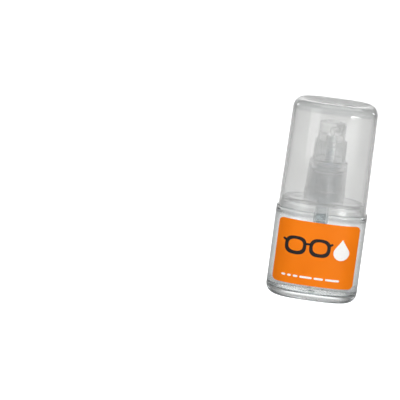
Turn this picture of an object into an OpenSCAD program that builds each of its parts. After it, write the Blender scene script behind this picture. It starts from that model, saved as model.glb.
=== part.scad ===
// Lens cleaning spray: a clear oval pocket bottle, a fine mist finger pump and a frosted overcap.
// Millimetres.  +Z is up, the label faces -Y, the origin is the centre of the standing ring.

/* [Bottle] */
// Width of the bottle across its label
body_w = 40.5; // [38:0.5:44]
// Depth of the bottle from its label to its back
body_d = 27.5; // [26.5:0.5:31]
// How square the plan outline is: 2 is an ellipse, higher is squarer
plan_power = 2.7; // [2.3:0.1:3.2]
// Height of the ledge that the overcap stands on
ledge_z = 39.8; // [38:0.2:42]
// Thickness of the side walls
wall = 1.4; // [1:0.1:1.8]
// Thickness of the heavy bottom, above the standing ring
base_t = 3.4; // [2.4:0.2:3.8]
// Radius of the outer bottom edge
base_edge_r = 4.3; // [3.5:0.1:4.8]
// How far the underside is pushed up inside the standing ring
push_up = 0.9; // [0.4:0.1:1.2]
// Height from the ledge to the flat shoulder
shoulder_rise = 4.7; // [4.3:0.1:5]
// Height from the shoulder to the mouth
neck_h = 12.1; // [11.5:0.1:12.5]
// Outer radius of the neck between its threads
neck_r = 6.6; // [6.4:0.1:6.7]
// Radius of the hole down the neck
neck_bore_r = 5.4; // [5.3:0.05:5.5]

/* [Screw thread] */
// Rise of one full turn
thread_pitch = 3.175; // [2.8:0.025:3.3]
// Height of the thread ridge
thread_h = 0.6; // [0.4:0.05:0.6]
// Number of turns of thread
thread_turns = 1.5; // [1:0.25:1.5]
// Height of the thread's start above the shoulder
thread_start = 3.7; // [3.5:0.1:3.9]

/* [Label and liquid] */
// Width of the label seen from the front
label_w = 35.4; // [30:0.2:37]
// Height of the label
label_h = 28.5; // [20:0.5:29]
// Height of the lower edge of the label
label_z = 7.5; // [7:0.5:9]
// Radius of the corners of the label
label_corner_r = 2; // [1:0.5:4]
// Height of the liquid surface
liquid_z = 41.8; // [39.6:0.2:42.4]

/* [Overcap] */
// How far the overcap stands in from the bottle's side at its rim
cap_inset = 0.8; // [0.6:0.1:1]
// How much each side of the overcap leans in on the way up
cap_taper = 0.75; // [0.4:0.05:1]
// Overall height of the closed object
overall_h = 88.6; // [88:0.2:92]
// Thickness of the overcap's wall
cap_wall = 1.25; // [1:0.05:1.4]
// Radius of the overcap's top edge
cap_edge_r = 4.8; // [3.5:0.1:5]

/* [Pump] */
// Radius of the screw collar at its lower edge
collar_r = 9.2; // [8.8:0.1:9.6]
// Radius of the turret round the button
turret_r = 7.2; // [7.1:0.1:7.6]
// Height of the turret's rim
turret_z = 71; // [69:0.5:72]
// Radius of the finger button
button_r = 5.95; // [5.8:0.05:6]
// Height of the button's top
button_z = 79.4; // [79:0.2:80]
// How far the button goes down
stroke = 3.6; // [3:0.1:3.6]
// Radius of the nozzle insert
nozzle_r = 2.1; // [1.8:0.1:2.1]
// Turn of the nozzle from straight ahead, towards +X
nozzle_turn = 55; // [0:5:90]
// Outer radius of the dip tube
tube_r = 1.5; // [1.4:0.05:1.5]
// Gap between the end of the dip tube and the floor of the bottle
tube_lift = 1.2; // [0.8:0.1:2]

/* [Hidden] */
// Sub-parts that can be drawn, and the one drawn now

$fn = 96;
// Points in each ring of an oval skin
ring_n = 64;
// Steps in a quarter-round edge of an oval skin
edge_n = 5;

// Gaps between pieces
rest_gap = 0.04;
slide_gap = 0.25;
press_gap = 0.02;
running_gap = 0.04;
free_gap = 0.3;

// Heights up the bottle and the pump
shoulder_z = ledge_z + shoulder_rise;
mouth_z = shoulder_z + neck_h;
gasket_t = 0.8;
flange_z = mouth_z + gasket_t;
flange_t = 1.2;
deck_z = flange_z + flange_t;
deck_t = 1.2;
deck_top_z = deck_z + deck_t;
thread_z = shoulder_z + thread_start;

// Bottle
recess_inset = cap_inset + cap_wall + slide_gap;
inner_recess = recess_inset + wall;
inner_ledge_z = ledge_z - wall;
ledge_edge_r = 0.8;
shoulder_edge_r = 1.1;
snap_bead = 0.1;
standing_w = 1.3;
inner_edge_r = 2.8;
neck_join = 0.5;

// Lengths down the pump: cylinder, spring room, ball room and the whole narrow part
cylinder_l = 11;
spring_room_l = 11.8;
ball_room_l = 4;
narrow_l = 20.9;
housing_top_z = deck_z + 0.8;
piston_floor_z = flange_z - cylinder_l;
housing_end_z = piston_floor_z - narrow_l;
shelf_z = piston_floor_z - spring_room_l;
seat_z = shelf_z - ball_room_l;

// Pump bores and rods
cylinder_r = 3.75;
upper_r = neck_bore_r - slide_gap;
lower_r = 3.1;
lower_bore_r = 2.15;
stem_r = 1.8;
stem_bore_r = 0.8;
ball_r = 1.25;
ball_room_r = 1.6;
inlet_r = 0.8;
tube_wall = 0.6;
flange_r = neck_r + 0.3;
housing_lip_r = 4.9;
ball_lip_r = 1.1;
ball_lip_t = 0.45;
snap_low_z = housing_top_z - 1.9;
snap_high_z = housing_top_z - 1.1;
snap_depth = 0.25;
socket_top_z = seat_z - inlet_r;
tube_end_z = base_t + tube_lift;
tube_top_z = socket_top_z - rest_gap;
retainer_depth = 3.5;
retainer_flange_t = 0.6;
piston_top_z = housing_top_z - retainer_depth;
piston_h = 3.9;
stem_foot_r = 2.5;
stem_foot_t = 0.8;
stem_foot_z = piston_top_z - piston_h - stem_foot_t - 0.05;
poppet_cone_r = 1.3;
poppet_flange_t = 0.75;
spring_mean_r = 1.75;
spring_wire_r = 0.2;
spring_turns = 9;

// Closure and button
thread_room_r = neck_r + thread_h + free_gap + 0.05;
collar_top_z = deck_top_z + 2.5;
collar_top_r = collar_r - 0.7;
turret_bore_r = button_r + free_gap;
button_skirt_t = 1;
// The skirt ends two strokes above the deck, so that it never leaves the turret's bore
button_skirt_z = deck_top_z + 2 * stroke + 0.2;
button_head_h = 5.4;
button_solid_z = button_z - button_head_h;
nozzle_z = button_z - button_head_h / 2;
nozzle_l = 3.2;
nozzle_recess = 0.3;
post_r = 2.5;
stem_top_z = button_solid_z - 0.8;

// Colours
clear_pet = [0.86, 0.89, 0.90, 0.45];
frosted = [0.80, 0.81, 0.81, 0.6];
liquid_colour = [0.80, 0.87, 0.90, 0.5];
label_orange = [0.93, 0.49, 0.10];
natural_pp = [0.74, 0.76, 0.76];
milky_pe = [0.82, 0.83, 0.82];
seal_grey = [0.55, 0.57, 0.58];
steel = [0.62, 0.63, 0.65];

// One ring of an oval: half width, half depth, height and squareness
function oval(half_w, half_d, z, power) = [
    for (i = [0 : ring_n - 1])
        let (a = 360 * i / ring_n)
        [half_w * sign(cos(a)) * pow(abs(cos(a)), 2 / power),
         half_d * sign(sin(a)) * pow(abs(sin(a)), 2 / power),
         z]
];

// A ring of the bottle's own outline, moved in from its side by an inset
function body_ring(inset, z) = oval(body_w / 2 - inset, body_d / 2 - inset, z, plan_power);

// A round ring
function round_ring(r, z) = oval(r, r, z, 2);

// Rings round a quarter-round edge: from angle a0 to a1 about a centre at inset and z
function edge_rings(inset, z, r, a0, a1) = [
    for (i = [0 : edge_n])
        let (a = a0 + (a1 - a0) * i / edge_n)
        body_ring(inset - r * cos(a), z + r * sin(a))
];

// Rings down the inside of the ledge, moved in by a gap
function inner_ledge_rings(gap) = [
    body_ring(inner_recess + gap, inner_ledge_z + 0.6),
    body_ring(inner_recess - 0.4 + gap, inner_ledge_z - 0.2),
    body_ring(wall + 0.4 + gap, inner_ledge_z - 1),
    body_ring(wall + gap, inner_ledge_z - 1.8)
];

// Closed solid whose skin runs through a list of rings, from one centre point to the other
module skin(rings) {
    n = len(rings);
    first = [0, 0, rings[0][0][2]];
    last = [0, 0, rings[n - 1][0][2]];
    points = concat([for (ring = rings) each ring], [first, last]);
    sides = [
        for (k = [0 : n - 2], i = [0 : ring_n - 1])
            let (
                j = (i + 1) % ring_n,
                a = k * ring_n + i,
                b = k * ring_n + j,
                c = a + ring_n,
                d = b + ring_n
            )
            each [[a, c, d], [a, d, b]]
    ];
    ends = [
        for (i = [0 : ring_n - 1])
            let (j = (i + 1) % ring_n, top = (n - 1) * ring_n)
            each [[n * ring_n, i, j], [n * ring_n + 1, top + j, top + i]]
    ];
    polyhedron(points = points, faces = concat(sides, ends), convexity = 8);
}

// Ridge that winds up a cylinder; its crest may lie outside or inside its root
module thread_ridge(root_r, crest_r, z, turns) {
    steps = 24 * turns;
    root_w = 1.6;
    crest_w = 0.7;
    run_out = 3;
    outward = crest_r > root_r;
    bury = outward ? -0.3 : 0.3;
    function reach(k) = min(1, k / run_out + 0.1, (steps - k) / run_out + 0.1);
    function section(k) =
        let (
            a = 360 * turns * k / steps,
            h = z + thread_pitch * turns * k / steps,
            r = root_r + (crest_r - root_r) * reach(k),
            r0 = root_r + bury,
            low_first = [[r0, -root_w / 2], [r, -crest_w / 2], [r, crest_w / 2], [r0, root_w / 2]],
            order = outward ? [0, 1, 2, 3] : [3, 2, 1, 0]
        )
        [for (i = order) [low_first[i][0] * cos(a), low_first[i][0] * sin(a), h + low_first[i][1]]];
    points = [for (k = [0 : steps]) each section(k)];
    sides = [
        for (k = [0 : steps - 1], i = [0 : 3])
            let (j = (i + 1) % 4, a = 4 * k + i, b = 4 * k + j)
            each [[a, b, b + 4], [a, b + 4, a + 4]]
    ];
    last = 4 * steps;
    ends = [[2, 1, 0], [3, 2, 0], [last, last + 1, last + 2], [last, last + 2, last + 3]];
    polyhedron(points = points, faces = concat(sides, ends), convexity = 6);
}

// Wire that winds up a cylinder
module coil(mean_r, wire_r, z0, z1, turns) {
    sides = 6;
    steps = 16 * turns;
    points = [
        for (k = [0 : steps], i = [0 : sides - 1])
            let (
                a = 360 * turns * k / steps,
                b = -360 * i / sides,
                r = mean_r + wire_r * cos(b),
                h = z0 + wire_r + (z1 - z0 - 2 * wire_r) * k / steps
            )
            [r * cos(a), r * sin(a), h + wire_r * sin(b)]
    ];
    walls = [
        for (k = [0 : steps - 1], i = [0 : sides - 1])
            let (j = (i + 1) % sides, a = sides * k + i, b = sides * k + j)
            each [[a, a + sides, b + sides], [a, b + sides, b]]
    ];
    last = sides * steps;
    ends = [
        [for (i = [0 : sides - 1]) i],
        [for (i = [sides - 1 : -1 : 0]) last + i]
    ];
    polyhedron(points = points, faces = concat(walls, ends), convexity = 6);
}

module tube(outer_r, inner_r, z0, z1) {
    translate([0, 0, z0])
        rotate_extrude()
            translate([inner_r, 0])
                square([outer_r - inner_r, z1 - z0]);
}

// Solid turned from [radius, height] pairs
module turned(outline) {
    rotate_extrude()
        polygon(outline);
}

// Clear bottle: oval body, ledge and recess for the overcap, and a screw neck
module bottle() {
    foot_inset = base_edge_r + standing_w;
    inner_shoulder_z = shoulder_z - wall;
    hole_r = neck_r - neck_join;
    outside = concat(
        [body_ring(foot_inset + 1.6, push_up)],
        [body_ring(foot_inset, 0)],
        edge_rings(base_edge_r, base_edge_r, base_edge_r, -90, 0),
        edge_rings(ledge_edge_r, ledge_z - ledge_edge_r, ledge_edge_r, 0, 90),
        [body_ring(recess_inset, ledge_z)],
        [body_ring(recess_inset, ledge_z + 1.6)],
        [body_ring(recess_inset - snap_bead, ledge_z + 2)],
        [body_ring(recess_inset, ledge_z + 2.4)],
        edge_rings(recess_inset + shoulder_edge_r, shoulder_z - shoulder_edge_r, shoulder_edge_r, 0, 90)
    );
    inside = concat(
        edge_rings(inner_recess + 1, inner_shoulder_z - 1, 1, 90, 0),
        inner_ledge_rings(0),
        edge_rings(wall + inner_edge_r, base_t + inner_edge_r, inner_edge_r, 0, -90)
    );
    color(clear_pet) {
        skin(concat(
            outside,
            [round_ring(hole_r, shoulder_z)],
            [round_ring(hole_r, inner_shoulder_z)],
            inside
        ));
        tube(neck_r, neck_bore_r, inner_shoulder_z, mouth_z);
        thread_ridge(neck_r, neck_r + thread_h, thread_z, thread_turns);
    }
}

// Liquid, with a well round the pump's housing and tube
module cleaning_liquid() {
    gap = 0.02;
    well_r = lower_r + free_gap;
    tube_well_r = tube_r + free_gap;
    well_z = housing_end_z - free_gap;
    floor_z = base_t + gap;
    color(liquid_colour)
        skin(concat(
            [body_ring(wall + inner_edge_r + 1, floor_z)],
            edge_rings(wall + gap + inner_edge_r, floor_z + inner_edge_r, inner_edge_r, -90, 0),
            [for (i = [3 : -1 : 0]) inner_ledge_rings(gap)[i]],
            [body_ring(inner_recess + gap, liquid_z)],
            [round_ring(well_r, liquid_z)],
            [round_ring(well_r, well_z)],
            [round_ring(tube_well_r, well_z)],
            [round_ring(tube_well_r, tube_end_z - free_gap)]
        ));
}

// Outline of the front half of the bottle, moved out by a distance
function front_outline(out) = [
    for (p = body_ring(-out, 0)) if (p[1] < 0.01) [p[0], p[1]]
];

module rounded_panel(width, height, r) {
    corners = [[1, 1], [-1, 1], [-1, -1], [1, -1]];
    polygon([
        for (q = [0 : 3], i = [0 : 6])
            let (a = 90 * q + 15 * i, c = corners[q])
            [c[0] * (width / 2 - r) + r * cos(a), c[1] * (height / 2 - r) + r * sin(a)]
    ]);
}

// Thin label that follows the curve of the bottle's front
module front_label() {
    label_gap = 0.015;
    label_t = 0.13;
    outer = front_outline(label_gap + label_t);
    inner = front_outline(label_gap);
    color(label_orange)
        intersection() {
            translate([0, 0, label_z])
                linear_extrude(label_h)
                    polygon(concat(outer, [for (i = [len(inner) - 1 : -1 : 0]) inner[i]]));
            translate([0, 0, label_z + label_h / 2])
                rotate([90, 0, 0])
                    linear_extrude(body_d)
                        rounded_panel(label_w, label_h, label_corner_r);
        }
}

// Frosted overcap
module overcap() {
    rim_z = ledge_z + rest_gap;
    inner_rim = cap_inset + cap_wall;
    lip = 0.3;
    straight_z = shoulder_z + 1;
    outer_top = cap_inset + cap_taper;
    inner_edge = cap_edge_r - cap_wall;
    inner_top = outer_top + cap_wall;
    ceiling_z = overall_h - cap_wall;
    color(frosted)
        skin(concat(
            [body_ring(inner_top + inner_edge + 3, ceiling_z)],
            edge_rings(inner_top + inner_edge, ceiling_z - inner_edge, inner_edge, 90, 0),
            [body_ring(inner_rim, straight_z)],
            [body_ring(inner_rim, rim_z + lip)],
            [body_ring(inner_rim - lip, rim_z)],
            [body_ring(cap_inset + lip, rim_z)],
            [body_ring(cap_inset, rim_z + lip)],
            edge_rings(outer_top + cap_edge_r, overall_h - cap_edge_r, cap_edge_r, 0, 90),
            [body_ring(outer_top + cap_edge_r + 3, overall_h)]
        ));
}

// Screw collar, its clamping deck and the turret that guides the button
module closure() {
    foot_z = shoulder_z + 0.5;
    deck_hole_r = 5.1;
    round_over = 0.8;
    color(natural_pp) {
        difference() {
            turned([
                [0, foot_z],
                [collar_r - 0.25, foot_z],
                [collar_r, foot_z + 0.25],
                [collar_top_r, collar_top_z - round_over],
                [collar_top_r - round_over * 0.3, collar_top_z - round_over * 0.3],
                [collar_top_r - round_over, collar_top_z],
                [turret_r, collar_top_z],
                [turret_r, turret_z - 0.3],
                [turret_r - 0.3, turret_z],
                [0, turret_z]
            ]);
            translate([0, 0, foot_z - 1])
                cylinder(r = thread_room_r, h = deck_z - foot_z + 1);
            cylinder(r = deck_hole_r, h = turret_z);
            translate([0, 0, deck_top_z])
                cylinder(r = turret_bore_r, h = turret_z);
        }
        thread_ridge(thread_room_r, thread_room_r - thread_h,
            thread_z - thread_pitch / 2, thread_turns);
    }
}

// Frame of the nozzle: x runs out along its axis
module at_nozzle() {
    translate([0, 0, nozzle_z])
        rotate([0, 0, nozzle_turn - 90])
            rotate([0, 90, 0])
                children();
}

// Finger button: dished top, skirt, and a centre post that fits over the stem
module actuator() {
    dish_r = 22;
    dish_depth = 0.9;
    edge = 0.7;
    nozzle_bed = button_r - nozzle_l - nozzle_recess;
    color(natural_pp)
        difference() {
            turned([
                [0, button_skirt_z],
                [button_r - 0.2, button_skirt_z],
                [button_r, button_skirt_z + 0.2],
                [button_r, button_z - edge],
                [button_r - edge * 0.3, button_z - edge * 0.3],
                [button_r - edge, button_z],
                [0, button_z]
            ]);
            translate([0, 0, button_z + dish_r - dish_depth])
                sphere(r = dish_r, $fn = 180);
            difference() {
                translate([0, 0, button_skirt_z - 1])
                    cylinder(r = button_r - button_skirt_t, h = button_solid_z - button_skirt_z + 1);
                cylinder(r = post_r, h = button_z);
            }
            translate([0, 0, button_skirt_z - 1])
                cylinder(r = post_r + 0.1, h = 1.6);
            cylinder(r = stem_r + 0.03, h = stem_top_z + rest_gap);
            cylinder(r = stem_bore_r, h = nozzle_z);
            at_nozzle()
                cylinder(r = stem_bore_r, h = button_r);
            at_nozzle()
                translate([0, 0, nozzle_bed])
                    cylinder(r = nozzle_r + press_gap, h = nozzle_l + 2);
        }
}

// Swirl nozzle: a cup with a fine hole in a countersunk face
module nozzle_insert() {
    bed = button_r - nozzle_l - nozzle_recess + rest_gap;
    cup_r = nozzle_r - 0.7;
    cup_l = nozzle_l - 1.1;
    color(milky_pe)
        at_nozzle()
            translate([0, 0, bed])
                turned([
                    [cup_r, 0],
                    [nozzle_r, 0],
                    [nozzle_r, nozzle_l - 0.2],
                    [nozzle_r - 0.2, nozzle_l],
                    [0.9, nozzle_l],
                    [0.25, nozzle_l - 0.5],
                    [0.25, cup_l],
                    [cup_r, cup_l]
                ]);
}

// Pump body: flange, cylinder, spring room, ball room and tube socket
module pump_housing() {
    taper_z = piston_floor_z - 1.2;
    slot_w = 0.8;
    color(natural_pp)
        difference() {
            turned([
                [0, housing_end_z],
                [lower_r - 0.6, housing_end_z],
                [lower_r, housing_end_z + 2.5],
                [lower_r, taper_z - 1.2],
                [upper_r, taper_z],
                [upper_r, flange_z],
                [flange_r, flange_z],
                [flange_r, deck_z - rest_gap],
                [housing_lip_r, deck_z - rest_gap],
                [housing_lip_r, housing_top_z],
                [0, housing_top_z]
            ]);
            turned([
                [0, housing_end_z - 1],
                [tube_r + press_gap, housing_end_z - 1],
                [tube_r + press_gap, socket_top_z],
                [inlet_r, socket_top_z],
                [inlet_r, seat_z],
                [ball_room_r, seat_z + ball_room_r - inlet_r],
                [ball_room_r, shelf_z - ball_lip_t],
                [ball_lip_r, shelf_z - ball_lip_t],
                [ball_lip_r, shelf_z],
                [lower_bore_r, shelf_z],
                [lower_bore_r, piston_floor_z],
                [cylinder_r, piston_floor_z],
                [cylinder_r, snap_low_z],
                [cylinder_r + snap_depth, snap_low_z],
                [cylinder_r + snap_depth, snap_high_z],
                [cylinder_r, snap_high_z],
                [cylinder_r, housing_top_z + 1],
                [0, housing_top_z + 1]
            ]);
            // Three slots let liquid past the lip that keeps the ball in
            for (a = [0, 120, 240])
                rotate([0, 0, a])
                    translate([0, -slot_w / 2, shelf_z - ball_lip_t - 0.15])
                        cube([ball_room_r, slot_w, ball_lip_t + 0.55]);
        }
}

// Soft washer between the flange and the mouth
module neck_gasket() {
    color(seal_grey)
        tube(neck_r - 0.1, upper_r + 0.1, mouth_z + press_gap, flange_z - press_gap);
}

// Ring that snaps into the housing and keeps the stem and piston in
module stem_retainer() {
    bore_r = stem_r + 2 * running_gap;
    body_r = cylinder_r - running_gap;
    snap_r = cylinder_r + snap_depth - 0.1;
    top_r = housing_lip_r - 0.2;
    foot_z = piston_top_z + 0.1;
    seat = housing_top_z + press_gap;
    color(milky_pe)
        turned([
            [bore_r, foot_z],
            [body_r, foot_z],
            [body_r, snap_low_z + 0.1],
            [snap_r, snap_low_z + 0.2],
            [snap_r, snap_high_z - 0.2],
            [body_r, snap_high_z - 0.1],
            [body_r, seat],
            [top_r, seat],
            [top_r, housing_top_z + retainer_flange_t],
            [bore_r, housing_top_z + retainer_flange_t]
        ]);
}

// Hollow stem that carries the button and the piston
module stem() {
    color(milky_pe)
        turned([
            [poppet_cone_r, stem_foot_z],
            [stem_foot_r, stem_foot_z],
            [stem_foot_r, stem_foot_z + stem_foot_t],
            [stem_r, stem_foot_z + stem_foot_t],
            [stem_r, stem_top_z - 0.2],
            [stem_r - 0.2, stem_top_z],
            [stem_bore_r, stem_top_z],
            [stem_bore_r, stem_foot_z + poppet_cone_r - stem_bore_r]
        ]);
}

// Piston with an upper and a lower sealing lip
module piston() {
    foot = piston_top_z - piston_h;
    lip_r = cylinder_r - running_gap;
    waist_r = 2.9;
    lip_t = 0.4;
    lip_h = 1.4;
    color(milky_pe)
        turned([
            [stem_r + press_gap, foot],
            [lip_r, foot],
            [lip_r, foot + lip_t],
            [waist_r, foot + lip_h],
            [waist_r, piston_top_z - lip_h],
            [lip_r, piston_top_z - lip_t],
            [lip_r, piston_top_z],
            [stem_r + press_gap, piston_top_z]
        ]);
}

// Valve pin that shuts the stem until the pressure is high enough
module poppet() {
    flange_top = stem_foot_z - 0.05;
    flange_low = flange_top - poppet_flange_t;
    flange_r = spring_mean_r + 0.15;
    guide_r = 1.25;
    guide_l = 2.8;
    pin_r = 0.5;
    pin_l = 3.8;
    color(seal_grey)
        turned([
            [0, flange_low - guide_l],
            [guide_r - 0.2, flange_low - guide_l],
            [guide_r, flange_low - guide_l + 0.2],
            [guide_r, flange_low],
            [flange_r, flange_low],
            [flange_r, flange_top],
            [poppet_cone_r, flange_top],
            [pin_r, flange_top + poppet_cone_r - pin_r],
            [pin_r, flange_top + pin_l],
            [0, flange_top + pin_l]
        ]);
}

// Return spring under the valve pin
module pump_spring() {
    top = stem_foot_z - 0.05 - poppet_flange_t - 0.03;
    color(steel)
        coil(spring_mean_r, spring_wire_r, shelf_z + 0.03, top, spring_turns);
}

// Ball of the foot valve, resting in its conical seat
module inlet_ball() {
    seat_apex_z = seat_z - inlet_r;
    color(steel)
        translate([0, 0, seat_apex_z + ball_r * sqrt(2) + 0.03])
            sphere(r = ball_r, $fn = 64);
}

// Tube that reaches down to just above the floor
module dip_tube() {
    color(milky_pe)
        tube(tube_r, tube_r - tube_wall, tube_end_z, tube_top_z);
}

bottle();
cleaning_liquid();
front_label();
overcap();
closure();
actuator();
nozzle_insert();
pump_housing();
neck_gasket();
stem_retainer();
stem();
piston();
pump_spring();
poppet();
inlet_ball();
dip_tube();
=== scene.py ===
"""Looks of the lens cleaning spray: smooth skins, materials, label print, light and camera."""
import math

import bmesh
import bpy
from mathutils import Matrix, Vector


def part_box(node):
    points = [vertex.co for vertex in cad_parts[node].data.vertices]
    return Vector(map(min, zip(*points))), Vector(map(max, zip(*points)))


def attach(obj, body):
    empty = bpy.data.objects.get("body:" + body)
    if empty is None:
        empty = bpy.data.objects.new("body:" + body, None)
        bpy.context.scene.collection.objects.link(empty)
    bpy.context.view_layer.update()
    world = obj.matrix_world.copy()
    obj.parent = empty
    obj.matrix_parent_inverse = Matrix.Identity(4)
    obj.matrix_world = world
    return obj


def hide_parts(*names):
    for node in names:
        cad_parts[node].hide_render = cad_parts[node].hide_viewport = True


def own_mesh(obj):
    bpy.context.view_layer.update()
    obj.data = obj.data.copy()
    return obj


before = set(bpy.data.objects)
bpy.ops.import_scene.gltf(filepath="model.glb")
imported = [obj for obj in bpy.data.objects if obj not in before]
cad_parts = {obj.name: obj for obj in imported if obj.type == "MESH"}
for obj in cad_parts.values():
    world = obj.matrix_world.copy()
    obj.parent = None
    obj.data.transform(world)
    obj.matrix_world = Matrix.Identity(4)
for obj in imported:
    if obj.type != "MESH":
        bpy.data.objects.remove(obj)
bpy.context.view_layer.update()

MM = 0.001


def corner_mm(node):
    """Lowest and highest corner of a CAD node, in millimetres."""
    low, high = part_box(node)
    return low / MM, high / MM


BOTTLE_HIGH = corner_mm("bottle")[1]
CAP_LOW, CAP_HIGH = corner_mm("overcap")
LABEL_LOW, LABEL_HIGH = corner_mm("front_label")
LIQUID_HIGH = corner_mm("cleaning_liquid")[1]
CLOSURE_LOW, CLOSURE_HIGH = corner_mm("closure")
BUTTON_LOW, BUTTON_HIGH = corner_mm("actuator")
HOUSING_LOW, HOUSING_HIGH = corner_mm("pump_housing")
GASKET_LOW, GASKET_HIGH = corner_mm("neck_gasket")
TUBE_LOW, TUBE_HIGH = corner_mm("dip_tube")
SPRING_LOW, SPRING_HIGH = corner_mm("pump_spring")
STEM_HIGH = corner_mm("stem")[1]

# Gaps in millimetres, where pieces rest on each other and where they slide over each other
REST_GAP = 0.04
SLIDE_GAP = 0.25

# Oval plan of the bottle
HALF_W = BOTTLE_HIGH.x
HALF_D = BOTTLE_HIGH.y
PLAN_POWER = 2.7
RING_POINTS = 224

# Bottle, in millimetres
WALL = 1.4
BASE_T = 3.4
BASE_EDGE_R = 4.3
PUSH_UP = 0.9
STANDING_W = 1.3
LEDGE_Z = CAP_LOW.z - REST_GAP
CAP_INSET = HALF_W - CAP_HIGH.x
CAP_WALL = 1.25
RECESS_INSET = CAP_INSET + CAP_WALL + SLIDE_GAP
MOUTH_Z = BOTTLE_HIGH.z
NECK_H = 12.1
SHOULDER_Z = MOUTH_Z - NECK_H
NECK_R = 6.6
NECK_BORE_R = 5.4

# Inside of the bottle, which the liquid follows, in millimetres
INNER_EDGE_R = 2.8
FLOOR_DOME = 0.35
FLOOR_INSETS = (6.0, 8.0, 10.0, 11.8, 13.0)
STEP_BELOW = 1.8

# Neck thread, in millimetres; the halves are half its height at the root and at the crest
THREAD_H = 0.6
THREAD_PITCH = 3.175
THREAD_TURNS = 1.5
THREAD_Z = SHOULDER_Z + 3.7
THREAD_ROOT_HALF = 0.8
THREAD_CREST_HALF = 0.35
COLLAR_ROOM_R = NECK_R + THREAD_H + 0.35

# Overcap, in millimetres
CAP_TAPER = 0.75
CAP_EDGE_R = 4.8
CAP_TOP_Z = CAP_HIGH.z

# Button and nozzle, in millimetres
NOZZLE_TURN = math.radians(55)
NOZZLE_Z = BUTTON_HIGH.z - 2.7
NOZZLE_R = 2.1
NOZZLE_BED = BUTTON_HIGH.x - 3.5

# Return spring, in millimetres and as shares of its wire
SPRING_WIRE_R = 0.2
SPRING_TURNS = 9
SPRING_CLOSED = 0.09

# Label and print, in millimetres; front, back and out are distances from the bottle
LABEL_CORNER = 2.0
LABEL_FRONT = 0.13
LABEL_BACK = 0.02
INK_OUT = 0.145
INK_T = 0.012

# Mesh tolerances, in millimetres, and the angles from which an edge stays sharp
MERGE = 1e-5
TINY = 1e-6
SHARP_ANGLE = math.radians(40)
CUT_SHARP_ANGLE = math.radians(35)


# ---- mesh helpers


def even_turns(count):
    """Parameter values that space points evenly round the bottle's outline."""
    fine = 4000
    turns = [2 * math.pi * i / fine for i in range(fine + 1)]
    spots = [oval_point(HALF_W, HALF_D, t, PLAN_POWER) for t in turns]
    run = [0.0]
    for a, b in zip(spots, spots[1:]):
        run.append(run[-1] + math.dist(a, b))
    wanted = [run[-1] * i / count for i in range(count)]
    result = []
    k = 0
    for w in wanted:
        while run[k + 1] < w:
            k += 1
        share = (w - run[k]) / (run[k + 1] - run[k])
        result.append(turns[k] + share * (turns[k + 1] - turns[k]))
    return result


def oval_point(half_w, half_d, turn, power):
    """A point of a superellipse."""
    c, s = math.cos(turn), math.sin(turn)
    return (
        half_w * math.copysign(abs(c) ** (2 / power), c),
        half_d * math.copysign(abs(s) ** (2 / power), s),
    )


TURNS = even_turns(RING_POINTS)


def body_ring(inset, z):
    """Ring of the bottle's outline, moved in by an inset."""
    return [(*oval_point(HALF_W - inset, HALF_D - inset, t, PLAN_POWER), z) for t in TURNS]


def round_ring(radius, z):
    """Round ring; radius may be a function of the angle."""
    ring = []
    for t in TURNS:
        r = radius(t) if callable(radius) else radius
        ring.append((r * math.cos(t), r * math.sin(t), z))
    return ring


def edge_rings(inset, z, r, start, end, steps):
    """Rings round a rounded edge, from angle start to end in degrees.

    The inset and the height are those of the corner that the edge rounds off.
    """
    middle_z = z + r if min(start, end) < 0 else z - r
    rings = []
    for i in range(steps + 1):
        a = math.radians(start + (end - start) * i / steps)
        rings.append(body_ring(inset + r - r * math.cos(a), middle_z + r * math.sin(a)))
    return rings


def wall_rings(inset_a, z_a, inset_b, z_b, steps):
    """Evenly spaced rings between two ends of a straight wall, both left out."""
    rings = []
    for i in range(1, steps):
        share = i / steps
        rings.append(body_ring(
            inset_a + (inset_b - inset_a) * share,
            z_a + (z_b - z_a) * share,
        ))
    return rings


def bridge(bm, rows):
    """Faces between each closed row of vertices and the next."""
    for here, there in zip(rows, rows[1:]):
        for i in range(len(here)):
            j = (i + 1) % len(here)
            bm.faces.new((here[i], here[j], there[j], there[i]))


def new_object(name, data):
    """Object in the scene that shows a mesh, a lamp or a camera."""
    obj = bpy.data.objects.new(name, data)
    bpy.context.scene.collection.objects.link(obj)
    return obj


def finish_mesh(name, bm, material):
    """Turns a bmesh in millimetres into a smooth object in metres."""
    bmesh.ops.remove_doubles(bm, verts=bm.verts, dist=MERGE)
    bmesh.ops.recalc_face_normals(bm, faces=bm.faces)
    bmesh.ops.scale(bm, vec=(MM, MM, MM), verts=bm.verts)
    mesh = bpy.data.meshes.new(name)
    bm.to_mesh(mesh)
    bm.free()
    mesh.shade_smooth()
    mesh.set_sharp_from_angle(angle=SHARP_ANGLE)
    mesh.materials.append(material)
    return new_object(name, mesh)


def skin(name, rings, material):
    """Skin through a list of rings, with a fan over each end."""
    bm = bmesh.new()
    rows = [[bm.verts.new(p) for p in ring] for ring in rings]
    bridge(bm, rows)
    count = len(rings[0])
    for row in (rows[0], rows[-1]):
        centre = bm.verts.new(sum((v.co for v in row), Vector()) / count)
        for i in range(count):
            bm.faces.new((row[i], row[(i + 1) % count], centre))
    return finish_mesh(name, bm, material)


def swept(name, profiles, material):
    """Solid through a profile's places along a path, with a flat face at each end."""
    bm = bmesh.new()
    rows = [[bm.verts.new(p) for p in profile] for profile in profiles]
    bridge(bm, rows)
    bm.faces.new(rows[0])
    bm.faces.new(rows[-1])
    return finish_mesh(name, bm, material)


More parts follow.
